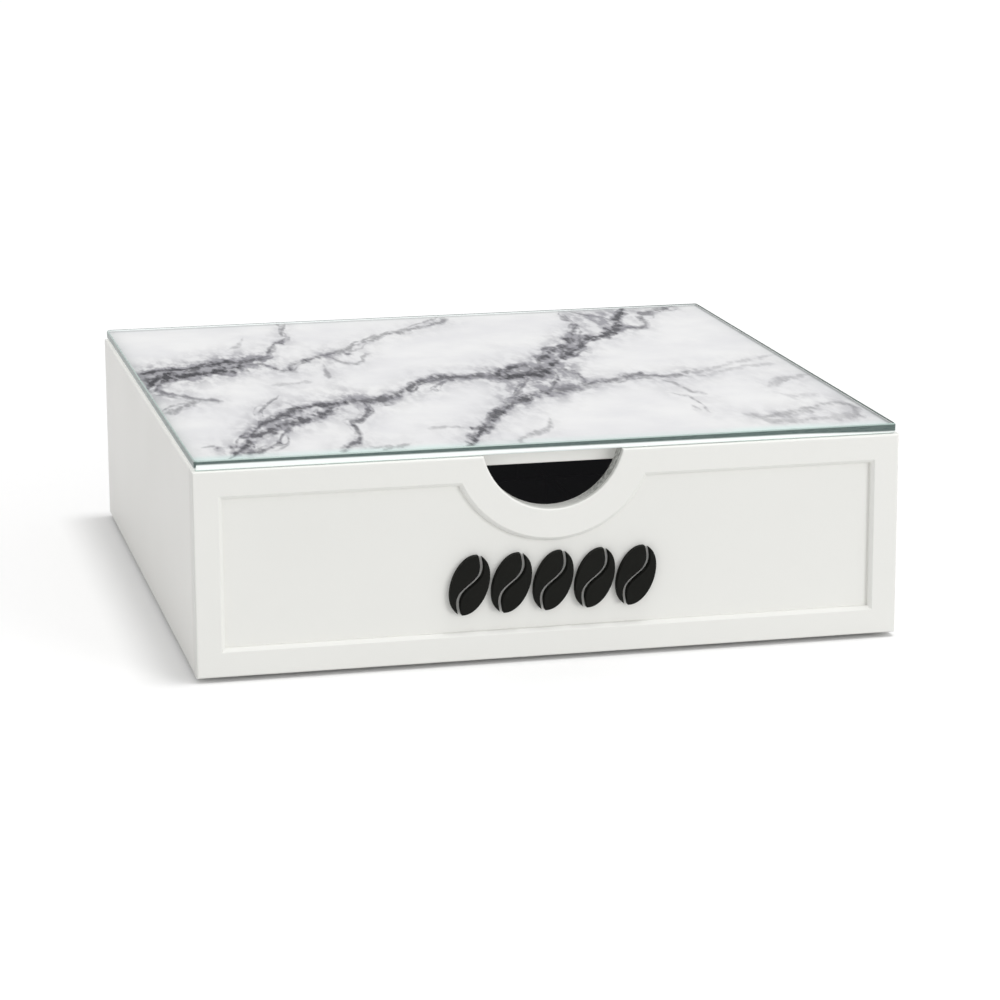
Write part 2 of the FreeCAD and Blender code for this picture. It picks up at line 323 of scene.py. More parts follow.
def outer_loop(inset):
    """The outline of the front, drawn inwards by an inset."""
    return loop(front_high.x - inset, front_low.z + inset, front_high.z - inset, cutout_radius + inset)


def recess_loop(spread):
    """The outline of the recess, spread outwards into the frame."""
    half_width = front_high.x - rail_width + spread
    low = front_low.z + rail_width - spread
    return loop(half_width, low, front_high.z - rail_width + spread, ring_radius - spread)


def at_depth(outline, y):
    """An outline of x and z set at a depth."""
    return np.stack([outline[:, 0], np.full(len(outline), y), outline[:, 1]], axis=1)


def rounding(radius, steps, start, end):
    """Offsets (1 - cos, 1 - sin) of an edge rounded by a radius, while the turn goes between two angles."""
    turn = np.radians(np.linspace(start, end, steps))
    return radius * (1 - np.cos(turn)), radius * (1 - np.sin(turn))


def grid_faces(rows, columns, wrap_rows, wrap_columns):
    """Four-sided faces between neighbours of a grid that is counted row by row."""
    index = np.arange(rows * columns).reshape(rows, columns)
    if wrap_rows:
        index = np.concatenate([index, index[:1]])
    if wrap_columns:
        index = np.concatenate([index, index[:, :1]], axis=1)
    faces = np.stack([index[:-1, :-1], index[:-1, 1:], index[1:, 1:], index[1:, :-1]], axis=-1)
    return faces.reshape(-1, 4)


def piece(name, points, faces, materials, body, slot, sharp=30.0):
    """A mesh object at the origin that rides on a body. Edges that turn by over sharp degrees stay crisp."""
    mesh = bpy.data.meshes.new(name)
    mesh.from_pydata(points.reshape(-1, 3).tolist(), [], [list(map(int, face)) for face in faces])
    mesh.validate()
    mesh.shade_smooth()
    mesh.set_sharp_from_angle(angle=math.radians(sharp))
    for material in materials:
        mesh.materials.append(material)
    made = bpy.data.objects.new(name, mesh)
    bpy.context.scene.collection.objects.link(made)
    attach(made, body)
    return made


def front_frame():
    """The frame as rows of loops: up the recess wall, over bevel and face, round the arris and back."""
    rows = [at_depth(recess_loop(0), recess_y)]
    wall_end = front_y + bevel_depth
    rows.append(at_depth(recess_loop(0), wall_end + bevel_arris / 2))
    # The turn from the wall to the bevel and from the bevel to the face, each a short rounding of 45 degrees
    along = bevel_arris * math.tan(math.radians(22.5))
    for step in np.linspace(0, 45, 4):
        turn = math.radians(step)
        spread = bevel_arris * (1 - math.cos(turn))
        rows.append(at_depth(recess_loop(spread), wall_end + along - bevel_arris * math.sin(turn)))
    for step in np.linspace(45, 90, 4):
        turn = math.radians(step)
        spread = bevel_depth + along - bevel_arris * math.cos(turn)
        rows.append(at_depth(recess_loop(spread), front_y + bevel_arris * (1 - math.sin(turn))))
    rows.append(at_depth(recess_loop(bevel_depth + along + beside), front_y))
    rows.append(at_depth(outer_loop(outer_arris + beside), front_y))
    for inset, drop in zip(*rounding(outer_arris, 6, 90, 0)):
        rows.append(at_depth(outer_loop(inset), front_y + drop))
    rows.append(at_depth(outer_loop(0), front_y + outer_arris + beside))
    rows.append(at_depth(outer_loop(0), recess_y))
    return np.array(rows)


front_lacquer = lacquer("front_lacquer", front_colour, "X", (cutout_z, cutout_radius, recess_y))
frame_rows = front_frame()
frame_faces = grid_faces(frame_rows.shape[0], frame_rows.shape[1], True, True)[:, ::-1]
applied_frame = piece("applied_frame", frame_rows, frame_faces, [front_lacquer], "drawer", "white_lacquer")
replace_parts(applied_frame, "drawer_front_frame")
dress(front_lacquer, "drawer_front_board")


# Ornament. Five coffee beans in a row, cut from black sheet in two halves each and glued to the recess, with
# a satin face and a fine saw-cut edge.
bean_low, bean_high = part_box("bean_ornament")
bean_count = 5
bean_length = 26 * mm
bean_width = 15.6 * mm
bean_pitch = 17.8 * mm
bean_lean = math.radians(20)
crease_width = 1.7 * mm
crease_sway = 2.6 * mm
bean_arris = 0.45 * mm
bean_steps = 61
arris_steps = 5
across_face = 9
tip_search_steps = 4001
bean_black = srgb(15, 16, 13)
bean_worn = srgb(24, 24, 21)


def bean_half(side):
    """One half of an upright bean, in rows from tip to tip and columns from the crease to the rim.

    The crease follows sway * sin(pi * z / half length), the rim is an ellipse, and the columns between them
    are spread evenly. The face turns into either side by a quarter of a circle, the arris."""
    half_length = bean_length / 2

    def crease_at(tall):
        return crease_sway * np.sin(math.pi * tall) + side * crease_width / 2

    def width_at(tall):
        rim = side * bean_width / 2 * np.sqrt(np.clip(1 - tall**2, 0, 1))
        return (rim - crease_at(tall)) * side

    tall = np.linspace(-1, 1, tip_search_steps)
    inside = width_at(tall) > 0
    low, high = tall[inside][0], tall[inside][-1]
    turn = np.linspace(-1, 1, bean_steps)
    tall = (low + high) / 2 + (high - low) / 2 * np.sin(turn * math.pi / 2)
    width = np.maximum(width_at(tall), 0)
    arris = np.minimum(bean_arris, width / 2)
    turns = np.linspace(0, 1, arris_steps)
    rise = np.sin(turns * math.pi / 2)
    go = 1 - np.cos(turns * math.pi / 2)
    face = np.linspace(0, 1, across_face)[1:-1]
    thickness = bean_high.y - bean_low.y
    columns = [(np.zeros(bean_steps), np.full(bean_steps, thickness))]
    for r, g in zip(rise, go):
        columns.append((arris * g, arris * (1 - r)))
    for share in face:
        columns.append((arris + (width - 2 * arris) * share, np.zeros(bean_steps)))
    for r, g in zip(rise[::-1], go[::-1]):
        columns.append((width - arris * g, arris * (1 - r)))
    columns.append((width, np.full(bean_steps, thickness)))
    over = np.stack([c[0] for c in columns], axis=1)
    down = np.stack([c[1] for c in columns], axis=1)
    x = crease_at(tall)[:, None] + side * over
    z = np.repeat(tall[:, None] * half_length, x.shape[1], axis=1)
    return np.stack([x, bean_low.y + down, z], axis=-1)


def bean_row():
    """Both halves of every bean, leaning to the right, each a grid that is closed at the back."""
    points, faces, count = [], [], 0
    middle_z = (bean_low.z + bean_high.z) / 2
    cos, sin = math.cos(bean_lean), math.sin(bean_lean)
    for number in range(bean_count):
        x = bean_pitch * (number - (bean_count - 1) / 2)
        for side in (-1, 1):
            half = bean_half(side)
            leaning = np.stack(
                [
                    x + half[..., 0] * cos + half[..., 2] * sin,
                    half[..., 1],
                    middle_z - half[..., 0] * sin + half[..., 2] * cos,
                ],
                axis=-1,
            )
            own = grid_faces(half.shape[0], half.shape[1], False, True) + count
            faces.append(own if side < 0 else own[:, ::-1])
            points.append(leaning.reshape(-1, 3))
            count += half.shape[0] * half.shape[1]
    return np.concatenate(points), np.concatenate(faces)


def ornament_black():
    material, flow = new_finish("black_ornament")
    grain = flow.noise(0.5 * mm, detail=3.0)
    cloud = flow.noise(9 * mm, detail=2.0)
    side = 1 - flow.place("Normal").axes()[1].distance().ramp(0.3, 0.8)
    saw = flow.noise(0.4 * mm, detail=1.0, stretch=(1, 12, 1))
    shader = coat_with(
        flow,
        Base_Color=cloud.tint(bean_black, bean_worn),
        Roughness=grain.ramp(0.2, 0.8, 0.42, 0.56) + side * 0.15,
        Specular_IOR_Level=0.1,
        Normal=flow.relief(grain * 0.4 + saw * side, 0.05 * mm),
    )
    show(flow, shader)
    return material


bean_points, bean_faces = bean_row()
beans = piece("coffee_beans", bean_points, bean_faces, [ornament_black()], "drawer", "black_ornament")
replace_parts(beans, "bean_ornament")


# Drawer box. Four lacquered walls, housed and nailed at the corners, round a floor of black faced hardboard
# that slides into a groove, with eight dividers of the same hardboard halved into each other.
hardboard_black = srgb(44, 44, 45)
hardboard_fibre = srgb(62, 62, 62)
inside_glow = (0.006, 0.006, 0.0065, 1)  # stands for light that gets inside after many bounces


def hardboard():
    material, flow = new_finish("black_hardboard")
    fibre = flow.noise(0.9 * mm, detail=4.0, roughness=0.65)
    cloud = flow.noise(40 * mm, detail=2.0)
    shader = coat_with(
        flow,
        Base_Color=(fibre * 0.7 + cloud * 0.3).tint(hardboard_black, hardboard_fibre),
        Roughness=fibre.ramp(0.2, 0.8, 0.55, 0.75),
        Normal=flow.relief(fibre, 0.06 * mm),
        Emission_Color=inside_glow,
        Emission_Strength=1.0,
    )
    show(flow, shader)
    return material


box_colour = (236, 235, 231)
box_lacquer = lacquer("box_lacquer", box_colour)
dress(box_lacquer, "drawer_left_side", "drawer_right_side", "drawer_back")
inner_margin = 2.8 * mm  # sawn wider, so that only the front board shows from outside
inner_cutout = cutout_radius + inner_margin
eased_top = 1 * mm
same_place = 0.05 * mm


def inner_front_wall():
    """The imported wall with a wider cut-out. Points of the arc below the eased top edge are spread down the
    wall in proportion, and each then goes out to the x where the wider circle has its height."""
    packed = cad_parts["drawer_inner_front"].data
    points = np.empty(len(packed.vertices) * 3)
    corners = np.empty(len(packed.loops), dtype=int)
    packed.vertices.foreach_get("co", points)
    packed.loops.foreach_get("vertex_index", corners)
    points, merged = np.unique(points.reshape(-1, 3).round(7), axis=0, return_inverse=True)
    x, _, z = points.T
    arc = np.abs(np.hypot(x, z - cutout_z) - cutout_radius) < same_place
    eased = z.max() - eased_top
    spread = (eased - cutout_z + inner_cutout) / (eased - cutout_z + cutout_radius)
    lower = np.where(z > eased, z, eased - (eased - z) * spread)
    wider = np.sign(x) * np.sqrt(np.clip(inner_cutout**2 - (cutout_z - lower) ** 2, 0, None))
    points[arc, 0] = wider[arc]
    points[arc, 2] = lower[arc]
    return points, merged.ravel()[corners].reshape(-1, 3)


inner_front = piece("inner_front_wall", *inner_front_wall(), [box_lacquer], "drawer", "white_lacquer")
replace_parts(inner_front, "drawer_inner_front")
dividers = [f"divider_{way}_{number}" for way in ("along", "across") for number in (1, 2, 3, 4)]
dress(hardboard(), "drawer_floor", *dividers)


# Screws. Four countersunk steel screws, bright zinc plated, with turned heads. They are driven from inside,
# through the inner front into the front board, and hold the front to the box.
zinc_blue = srgb(196, 198, 198)
zinc_yellow = srgb(214, 212, 200)


def zinc():
    material, flow = new_finish("zinc_screw")
    turned = flow.noise(0.25 * mm, detail=2.0, stretch=(1, 6, 1))
    spangle = flow.noise(1.2 * mm, detail=1.0)
    shader = coat_with(
        flow,
        Base_Color=spangle.tint(zinc_blue, zinc_yellow),
        Metallic=1.0,
        Roughness=turned.ramp(0.2, 0.8, 0.22, 0.4),
    )
    show(flow, shader)
    return material


dress(zinc(), "front_screws")


# Cushions. Four dots of clear silicone with a faint haze, stuck to the top board. The glass lies on them and
# is kept off the lacquer.
silicone_dark = srgb(222, 225, 225)
silicone_clear = srgb(236, 238, 238)


def silicone():
    material, flow = new_finish("clear_silicone")
    haze = flow.noise(3 * mm, detail=2.0)
    shader = coat_with(
        flow,
        Base_Color=haze.tint(silicone_dark, silicone_clear),
        Roughness=haze.ramp(0.2, 0.8, 0.2, 0.35),
    )
    show(flow, shader)
    return material


dress(silicone(), "glass_cushions")

# Marble print. White marble with grey and purple veins, printed on the underside of the glass. It is a grid
# of points that carry how near the closest vein is, how dark it is, and how much grey haze lies there.
print_low, print_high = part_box("marble_print")
ink_depth = 0.02 * mm  # the ink lies in the skin of the glass
print_columns = 385
print_rows = 255
vein_reach = 3.0  # the soft side of a vein ends at this many half widths

# Veins in millimetres seen from above: half width, strength, and points on the way
veins = [
    # From the front left corner to the knot in the middle
    (1.9, 0.80, [(-134, -146), (-130, -133), (-125, -122), (-120, -111), (-117, -98), (-111, -86),
                 (-106, -78), (-100, -71), (-94, -64), (-90, -57), (-85, -51), (-77, -48), (-70, -46),
                 (-65, -40)]),
    (1.6, 0.78, [(-120, -111), (-113, -103), (-108, -97), (-103, -89), (-97, -85), (-92, -81), (-86, -76),
                 (-82, -70), (-79, -61), (-76, -52)]),
    (1.0, 0.55, [(-130, -135), (-121, -134), (-113, -128), (-108, -120), (-105, -109), (-102, -100),
                 (-98, -90)]),
    (0.9, 0.40, [(-112, -88), (-109, -76), (-108, -62), (-105, -52), (-101, -43), (-97, -34), (-92, -26)]),
    (2.2, 0.72, [(-65, -40), (-61, -45), (-56, -46), (-50, -44), (-45, -37), (-40, -31), (-35, -27),
                 (-31, -16), (-26, -9), (-18, -5), (-9, -4), (0, -5), (9, -4)]),
    (1.0, 0.45, [(-26, -28), (-23, -22), (-17, -14), (-10, -8)]),
    # From there down to the front edge
    (1.3, 0.62, [(-62, -36), (-60, -50), (-60, -61), (-62, -69), (-67, -79), (-73, -89), (-73, -98),
                 (-73, -106), (-75, -116), (-77, -125), (-83, -135), (-87, -145)]),
    # From the front edge to the knot and out to the right
    (2.0, 0.80, [(-36, -147), (-31, -138), (-27, -128), (-23, -117), (-18, -106), (-14, -96), (-9, -87),
                 (-4, -79), (0, -70), (4, -63)]),
    (2.2, 0.85, [(4, -63), (9, -59), (14, -53), (19, -48), (26, -43)]),
    (1.9, 0.50, [(26, -43), (34, -39), (42, -37), (50, -31), (58, -27), (66, -22), (74, -20), (82, -23),
                 (90, -22), (97, -17)]),
    (1.0, 0.50, [(2, -64), (6, -54), (9, -45), (13, -34), (18, -23), (23, -12)]),
    (1.2, 0.55, [(24, -45), (29, -33), (33, -22), (36, -11), (38, -2)]),
    (1.1, 0.50, [(42, -36), (46, -25), (48, -14), (46, -3), (41, 6)]),
    # The knot
    (2.6, 0.95, [(9, -13), (16, -8), (23, -7), (30, -3), (36, 4), (40, 11), (44, 19), (47, 26)]),
    (2.2, 0.90, [(8, -8), (12, 1), (16, 7), (22, 11), (28, 16)]),
    (1.6, 0.70, [(20, -12), (25, -3), (31, 6), (36, 14)]),
    # From the knot to the back edge, as two strands with a pale gap
    (2.1, 0.85, [(47, 26), (52, 34), (54, 42), (60, 51), (64, 59), (68, 67), (74, 75), (81, 77), (86, 83),
                 (90, 91), (95, 98), (98, 108), (99, 119), (102, 129), (107, 138), (112, 147)]),
    (2.0, 0.85, [(36, 20), (39, 30), (43, 37), (48, 45), (52, 53), (57, 62), (61, 72), (65, 80)]),
    (1.2, 0.60, [(65, 80), (70, 91), (73, 99), (76, 109), (76, 119), (76, 130), (78, 139)]),
    (1.2, 0.55, [(52, 30), (55, 33), (57, 40), (62, 45)]),
    (1.3, 0.55, [(97, 98), (105, 97), (109, 101), (111, 111), (113, 120), (117, 130), (126, 138),
                 (136, 144)]),
    (0.9, 0.35, [(83, 148), (88, 136), (95, 125), (97, 112)]),
    # The left edge
    (2.8, 1.00, [(-148, 2), (-145, 14), (-140, 25), (-133, 32)]),
    (3.2, 1.00, [(-147, 22), (-139, 27), (-130, 31), (-122, 33), (-114, 35), (-107, 39), (-101, 44),
                 (-96, 48)]),
    (1.6, 0.95, [(-148, 36), (-138, 42), (-128, 46), (-118, 50), (-110, 55), (-100, 58)]),
    (2.0, 0.75, [(-127, 38), (-121, 47), (-117, 55), (-111, 59), (-104, 58), (-96, 55), (-89, 58),
                 (-83, 65)]),
    (1.4, 0.60, [(-83, 65), (-81, 76), (-78, 88), (-76, 97), (-72, 102), (-67, 111)]),
    (1.0, 0.45, [(-70, 108), (-68, 118), (-67, 129), (-65, 139), (-63, 148)]),
    (1.4, 0.55, [(-96, 48), (-89, 46), (-87, 38), (-84, 31), (-79, 30), (-77, 37), (-74, 44), (-69, 50),
                 (-64, 57), (-57, 65), (-50, 71)]),
    (1.5, 0.45, [(-57, 65), (-50, 73), (-44, 79), (-38, 87), (-31, 94), (-25, 103), (-19, 109), (-10, 114),
                 (0, 122), (12, 131), (19, 140)]),
    (1.1, 0.34, [(-56, 62), (-55, 50), (-50, 42), (-44, 44), (-42, 56), (-36, 64)]),
    (1.2, 0.32, [(-66, 3), (-65, 17), (-63, 31), (-61, 45)]),
    (0.9, 0.22, [(-100, 84), (-94, 95), (-91, 106), (-88, 117)]),
    (1.4, 0.45, [(-147, -2), (-142, -12), (-135, -17), (-129, -25), (-119, -30)]),
    (1.5, 0.42, [(-148, -48), (-143, -42), (-138, -38), (-133, -32), (-129, -25)]),
    # Pale ones on the right and along the front
    (1.2, 0.30, [(79, -32), (83, -43), (84, -62), (90, -67)]),
    (1.3, 0.34, [(74, -62), (81, -73), (82, -91), (81, -108)]),
    (1.1, 0.20, [(96, -21), (108, -14), (123, -4), (138, 5), (147, 16)]),
    (1.1, 0.16, [(97, -28), (111, -20), (127, -12), (140, -9)]),
    (1.8, 0.22, [(121, -57), (132, -45), (140, -41), (147, -38)]),
    (1.2, 0.16, [(119, -68), (123, -84), (137, -81)]),
    (2.0, 0.27, [(93, -111), (100, -117), (108, -115), (117, -112), (126, -108), (137, -99), (144, -103),
                 (146, -117)]),
    (1.8, 0.20, [(97, -124), (111, -131), (127, -131), (144, -128)]),
    (1.1, 0.30, [(-14, -148), (-10, -138), (-3, -130), (4, -121), (9, -110), (11, -98)]),
    (1.3, 0.26, [(134, -136), (139, -127), (143, -118), (146, -104)]),
    (1.2, 0.24, [(-44, -110), (-37, -108), (-29, -110)]),
    (1.2, 0.30, [(-77, -140), (-70, -135), (-64, -139), (-57, -135)]),
    (1.0, 0.30, [(-143, -124), (-137, -120), (-133, -126)]),
    (1.0, 0.18, [(-93, 0), (-82, -1), (-73, 1)]),
]

# Dark knots on the veins: x and y in millimetres, radius and strength
knots = [
    (-130, -134, 3.0, 0.75), (-124, -121, 3.4, 0.95), (-136, -123, 3.0, 0.55), (-131, -124, 2.4, 0.65),
    (-108, -120, 2.6, 0.80), (-102, -101, 2.8, 0.80), (-108, -97, 3.0, 0.80), (-93, -82, 3.6, 0.85),
    (-82, -70, 2.8, 0.75), (-89, -56, 3.4, 0.95), (-80, -49, 4.4, 0.85), (-69, -46, 3.8, 0.95),
    (-63, -37, 2.8, 0.80), (-57, -48, 3.4, 0.80), (-60, -64, 2.6, 0.75), (-74, -92, 2.8, 0.95),
    (-45, -37, 3.2, 0.70), (-36, -28, 3.2, 0.85), (-31, -16, 3.0, 0.80), (-24, -28, 2.2, 0.55),
    (-9, -4, 3.4, 0.55), (-18, -104, 3.6, 0.95), (-25, -111, 2.6, 0.75), (-6, -84, 3.8, 0.95),
    (0, -71, 3.0, 0.90), (7, -62, 3.0, 0.95), (16, -53, 4.0, 1.00), (20, -47, 3.4, 0.90),
    (9, -13, 3.0, 1.00), (16, -7, 3.4, 1.00), (26, -8, 3.4, 0.90), (15, 6, 3.2, 1.00),
    (28, 17, 3.0, 0.85), (41, 12, 3.4, 1.00), (45, 20, 3.2, 0.90), (38, 26, 3.0, 0.95),
    (44, 35, 3.4, 0.95), (54, 40, 3.6, 0.95), (60, 50, 3.6, 0.95), (62, 75, 4.0, 0.75),
    (70, 69, 3.2, 0.95), (76, 75, 3.4, 0.95), (87, 83, 3.2, 0.95), (95, 97, 3.8, 0.90),
    (112, 118, 3.4, 0.65), (63, -21, 3.4, 0.50), (74, -16, 3.0, 0.75), (94, -22, 3.6, 0.55),
    (-97, 47, 3.2, 0.90), (-108, 39, 4.6, 0.95), (-82, 67, 3.6, 0.70), (-73, 99, 3.4, 0.80),
    (-78, 32, 2.6, 0.75), (-68, 51, 2.8, 0.80), (-54, 68, 3.8, 0.70), (-47, 67, 2.4, 0.60),
    (-140, -13, 2.6, 0.60), (-129, -27, 2.6, 0.45), (-138, -39, 2.6, 0.50), (119, -110, 3.0, 0.26),
    (77, -98, 3.6, 0.24), (141, -126, 3.2, 0.34), (-70, -140, 4.0, 0.35),
]

# Grey haze: x and y in millimetres, reach along x and y, and strength
hazes = [
    (88, 122, 11, 20, 0.85), (100, 138, 12, 10, 0.40), (83, 103, 8, 9, 0.35), (62, 76, 7, 9, 0.40),
    (28, -2, 16, 12, 0.45), (34, -18, 14, 16, 0.32), (-5, -6, 14, 8, 0.40), (-48, -38, 14, 12, 0.35),
    (-100, -44, 9, 8, 0.30), (-128, 30, 18, 14, 0.30), (-104, 52, 14, 12, 0.25), (40, -38, 20, 9, 0.25),
    (78, -26, 20, 10, 0.26), (-62, 14, 6, 16, 0.14), (118, -120, 18, 16, 0.20), (134, -46, 12, 14, 0.16),
    (26, 58, 8, 18, 0.10), (10, 130, 12, 12, 0.14), (-86, -6, 9, 10, 0.14), (134, 142, 10, 8, 0.25),
    (-72, 26, 16, 14, 0.12), (-122, -70, 14, 20, 0.05), (104, -126, 16, 14, 0.10),
    (144, -100, 8, 16, 0.20),
]


lattice_size = 128
lattice_shift = (61.3, 57.9)  # where the middle of the print falls on the lattice
wander_sizes = [(17, 1.5), (7.5, 0.9), (3.3, 0.6)]  # size and sway in millimetres


def drift(x, y, size, seed):
    """Smooth random drift between -1 and 1: random values on a square lattice of a size in millimetres,
    joined by the curve 3 t squared minus 2 t cubed in both directions."""
    lattice = np.random.RandomState(seed).uniform(-1, 1, (lattice_size, lattice_size))
    across, along = x / size + lattice_shift[0], y / size + lattice_shift[1]
    column, row = np.floor(across).astype(int), np.floor(along).astype(int)
    u, v = across - column, along - row
    u, v = u * u * (3 - 2 * u), v * v * (3 - 2 * v)
    column, row = column % lattice_size, row % lattice_size
    next_column, next_row = (column + 1) % lattice_size, (row + 1) % lattice_size
    near = lattice[row, column] * (1 - u) + lattice[row, next_column] * u
    far = lattice[next_row, column] * (1 - u) + lattice[next_row, next_column] * u
    return near * (1 - v) + far * v


def wander(x, y, seed):
    """Three sizes of drift added, of which the finer ones sway less."""
    return sum(drift(x, y, size, seed + number) * sway for number, (size, sway) in enumerate(wander_sizes))


# Each vein frays into strands: sway in parts of the wander, share of the width and share of the strength
strands = [(1.0, 0.5, 1.0), (1.9, 0.3, 0.85), (2.6, 0.24, 0.7)]
seed_across, seed_along = 11, 21
unfrayed = 0.4  # weaker veins have no side strands
halo_reach = 4.0  # mm
tip_length = 5  # mm over which the ends of a vein thin out
wander_share = 0.5  # how much the wandering counts from front to back
squash = 3.8  # the marks are drawn out from front to back by this much
nearness_weight = 0.4  # where strands meet, the larger closeness times (this + strength) shows


def marble_fields(x, y):
    """How near the closest strand is, how dark it is there, and the grey round it.

    Nearness is 1 on a strand's line and 0 at its reach, and a strand is the vein's line seen through its
    own wandering of the plane. The grey falls off as e to the power of minus the squared distance, added
    for each vein, with the hazes laid over it."""
    y = y / squash
    near = np.zeros_like(x)
    ink = np.zeros_like(x)
    haze = np.zeros_like(x)

    def lay(closeness, strength):
        better = closeness * (nearness_weight + strength) > near * (nearness_weight + ink)
        near[better] = closeness[better]
        ink[better] = strength[better]

    for order, (sway, width_share, strength_share) in enumerate(strands):
        wx = x + wander(x, y, seed_across + order * 40) * sway
        wy = y + wander(x, y, seed_along + order * 40) * sway * wander_share
        for number, (half_width, strength, points) in enumerate(veins):
            if order and strength < unfrayed:
                continue
            line = np.array(points) / (1, squash)
            steps = np.diff(line, axis=0)
            lengths = np.hypot(*steps.T)
            before = np.concatenate([[0], np.cumsum(lengths)])
            seed = number + order * 100
            swell = width_share * (1 + 0.5 * drift(x, y, 8, seed))
            shown = 1.0 if order == 0 else np.clip(0.6 + 1.4 * drift(x, y, 14, 300 + seed), 0, 1)
            closest = np.full_like(x, 1e3)
            for start, step, length, run_before in zip(line, steps, lengths, before):
                along = np.clip(((wx - start[0]) * step[0] + (wy - start[1]) * step[1]) / length**2, 0, 1)
                gap = np.hypot(wx - start[0] - along * step[0], wy - start[1] - along * step[1])
                run = run_before + along * length
                fade = np.clip(np.minimum(run, before[-1] - run) / tip_length + 0.45, 0, 1)
                closeness = np.clip(1 - gap / (vein_reach * half_width * swell * fade), 0, 1)
                lay(closeness, strength * strength_share * shown * fade)
                closest = np.minimum(closest, gap)
            if order == 0:
                haze += 0.5 * strength * np.exp(-((closest / (halo_reach + half_width)) ** 2))
    wx = x + wander(x, y, seed_across)
    wy = y + wander(x, y, seed_along) * wander_share
    for kx, ky, radius, strength in knots:
        gap = np.hypot(wx - kx, wy - ky / squash)
        lay(np.clip(1 - gap / (radius * 0.8), 0, 1), np.full_like(x, strength))
    for hx, hy, reach_x, reach_y, strength in hazes:
        haze += strength * np.exp(-(((x - hx) / reach_x) ** 2) - ((y * squash - hy) / reach_y) ** 2)
    return near, ink, haze


def grey(level):
    """A linear grey from 0, black, to 1, white."""
    return (level, level, level, 1)


def show_through(flow, shader, share):
    """Ends a material with a shader that is clear by a share."""
    through = flow.node("BsdfTransparent", sockets={"Color": grey(1)})
    show(flow, flow.node("MixShader", sockets={0: share, 1: shader, 2: through}))


marble_white = srgb(226, 226, 228)
marble_bright = srgb(237, 237, 237)
haze_grey = srgb(134, 133, 141)
vein_purple = srgb(38, 38, 46)
strip_painted_light_green = srgb(222, 242, 238)
strip_painted_shade_grey = srgb(118, 126, 125)
grain_stretch = (1.0, 3.0, 1.0)
ink_leak = 0.7  # the ink is thin, and this share of the lamps' light passes it
# Strips along the edges of the print, from and to: pale green painted light at the front, grey painted shade
# at the right and back
right_strip = (145.8 * mm, 147.6 * mm)
back_strip = (142 * mm, 147 * mm)
front_strip = (134 * mm, 147 * mm)


def marble_ink():
    """Ink on glass: nearness is shaken by noise and cut to a ragged, flecked line with a soft grey side."""
    material, flow = new_finish("marble_ink")
    near = flow.attribute("vein_near")
    ink = flow.attribute("vein_ink")
    haze = flow.attribute("vein_grey")
    coarse = flow.noise(4.5 * mm, detail=1.0, stretch=grain_stretch) - 0.5
    fibre = flow.noise(1.8 * mm, detail=1.0, stretch=grain_stretch) - 0.5
    spots = flow.noise(2.4 * mm, detail=1.0, stretch=grain_stretch)
    mottle = flow.noise(5 * mm, detail=2.0, roughness=0.6, stretch=grain_stretch)
    cloud = flow.noise(34 * mm, detail=4.0, roughness=0.55)
    touched = near.ramp(0.0, 0.25)
    body = near + (coarse * 1.3 + fibre * 0.35) * touched
    line = (body + (spots - 0.5) * 1.1).ramp(0.42, 1.08)
    side = body.ramp(0.1, 0.7) * touched
    washed = side * ink * spots.ramp(0.3, 0.6, 0.4, 0.75) + haze * mottle.ramp(0.34, 0.66, 0.15, 0.9)
    white_tone = cloud.ramp(0.25, 0.75).tint(marble_white, marble_bright)
    toned = washed.least(0.85).tint(white_tone, haze_grey)
    x, y, _ = flow.place().axes()
    # Painted light along the front of the print and painted shade along its right and back, standing for the
    # ground edge of the glass
    edge_light = (y * -1).ramp(*front_strip) * cloud.ramp(0.4, 0.6, 0.4, 0.9)
    greenish = edge_light.tint(toned, strip_painted_light_green)
    painted_edge_shade = x.ramp(*right_strip, 0.0, 0.6).most(y.ramp(*back_strip, 0.0, 0.3))
    with_edge_shade = painted_edge_shade.tint(greenish, strip_painted_shade_grey)
    shader = coat_with(
        flow,
        Base_Color=(line * ink).least(0.97).tint(with_edge_shade, vein_purple),
        Roughness=0.5,
        IOR=1.5,
        Specular_IOR_Level=0.0,
    )
    show_through(flow, shader, flow.rays("Shadow") * ink_leak)
    return material


def marble_sheet():
    """A flat grid with a rim down to the underside and one face below it."""
    top_z = print_high.z + ink_depth
    xs = np.linspace(print_low.x, print_high.x, print_columns)
    ys = np.linspace(print_low.y, print_high.y, print_rows)
    x, y = np.meshgrid(xs, ys)
    top = np.stack([x, y, np.full_like(x, top_z)], axis=-1).reshape(-1, 3)
    index = np.arange(len(top)).reshape(x.shape)
    rim = np.concatenate([index[0, :-1], index[:-1, -1], index[-1, :0:-1], index[:0:-1, 0]])
    bottom = top[rim].copy()
    bottom[:, 2] = print_low.z
    below = len(top) + np.arange(len(rim))
    sides = np.stack([rim, below, np.roll(below, -1), np.roll(rim, -1)], axis=1)
    faces = [*grid_faces(*x.shape, False, False), *sides, below[::-1]]
    points = np.concatenate([top, bottom])
    sheet = piece("marble_sheet", points, faces, [marble_ink()], "case", "marble_ink")
    fields = marble_fields(x.ravel() / mm, y.ravel() / mm)
    for name, values in zip(("vein_near", "vein_ink", "vein_grey"), fields):
        layer = sheet.data.attributes.new(name, "FLOAT", "POINT")
        layer.data.foreach_set("value", np.concatenate([values, values[rim]]).astype(np.float32))
    return sheet


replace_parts(marble_sheet(), "marble_print")

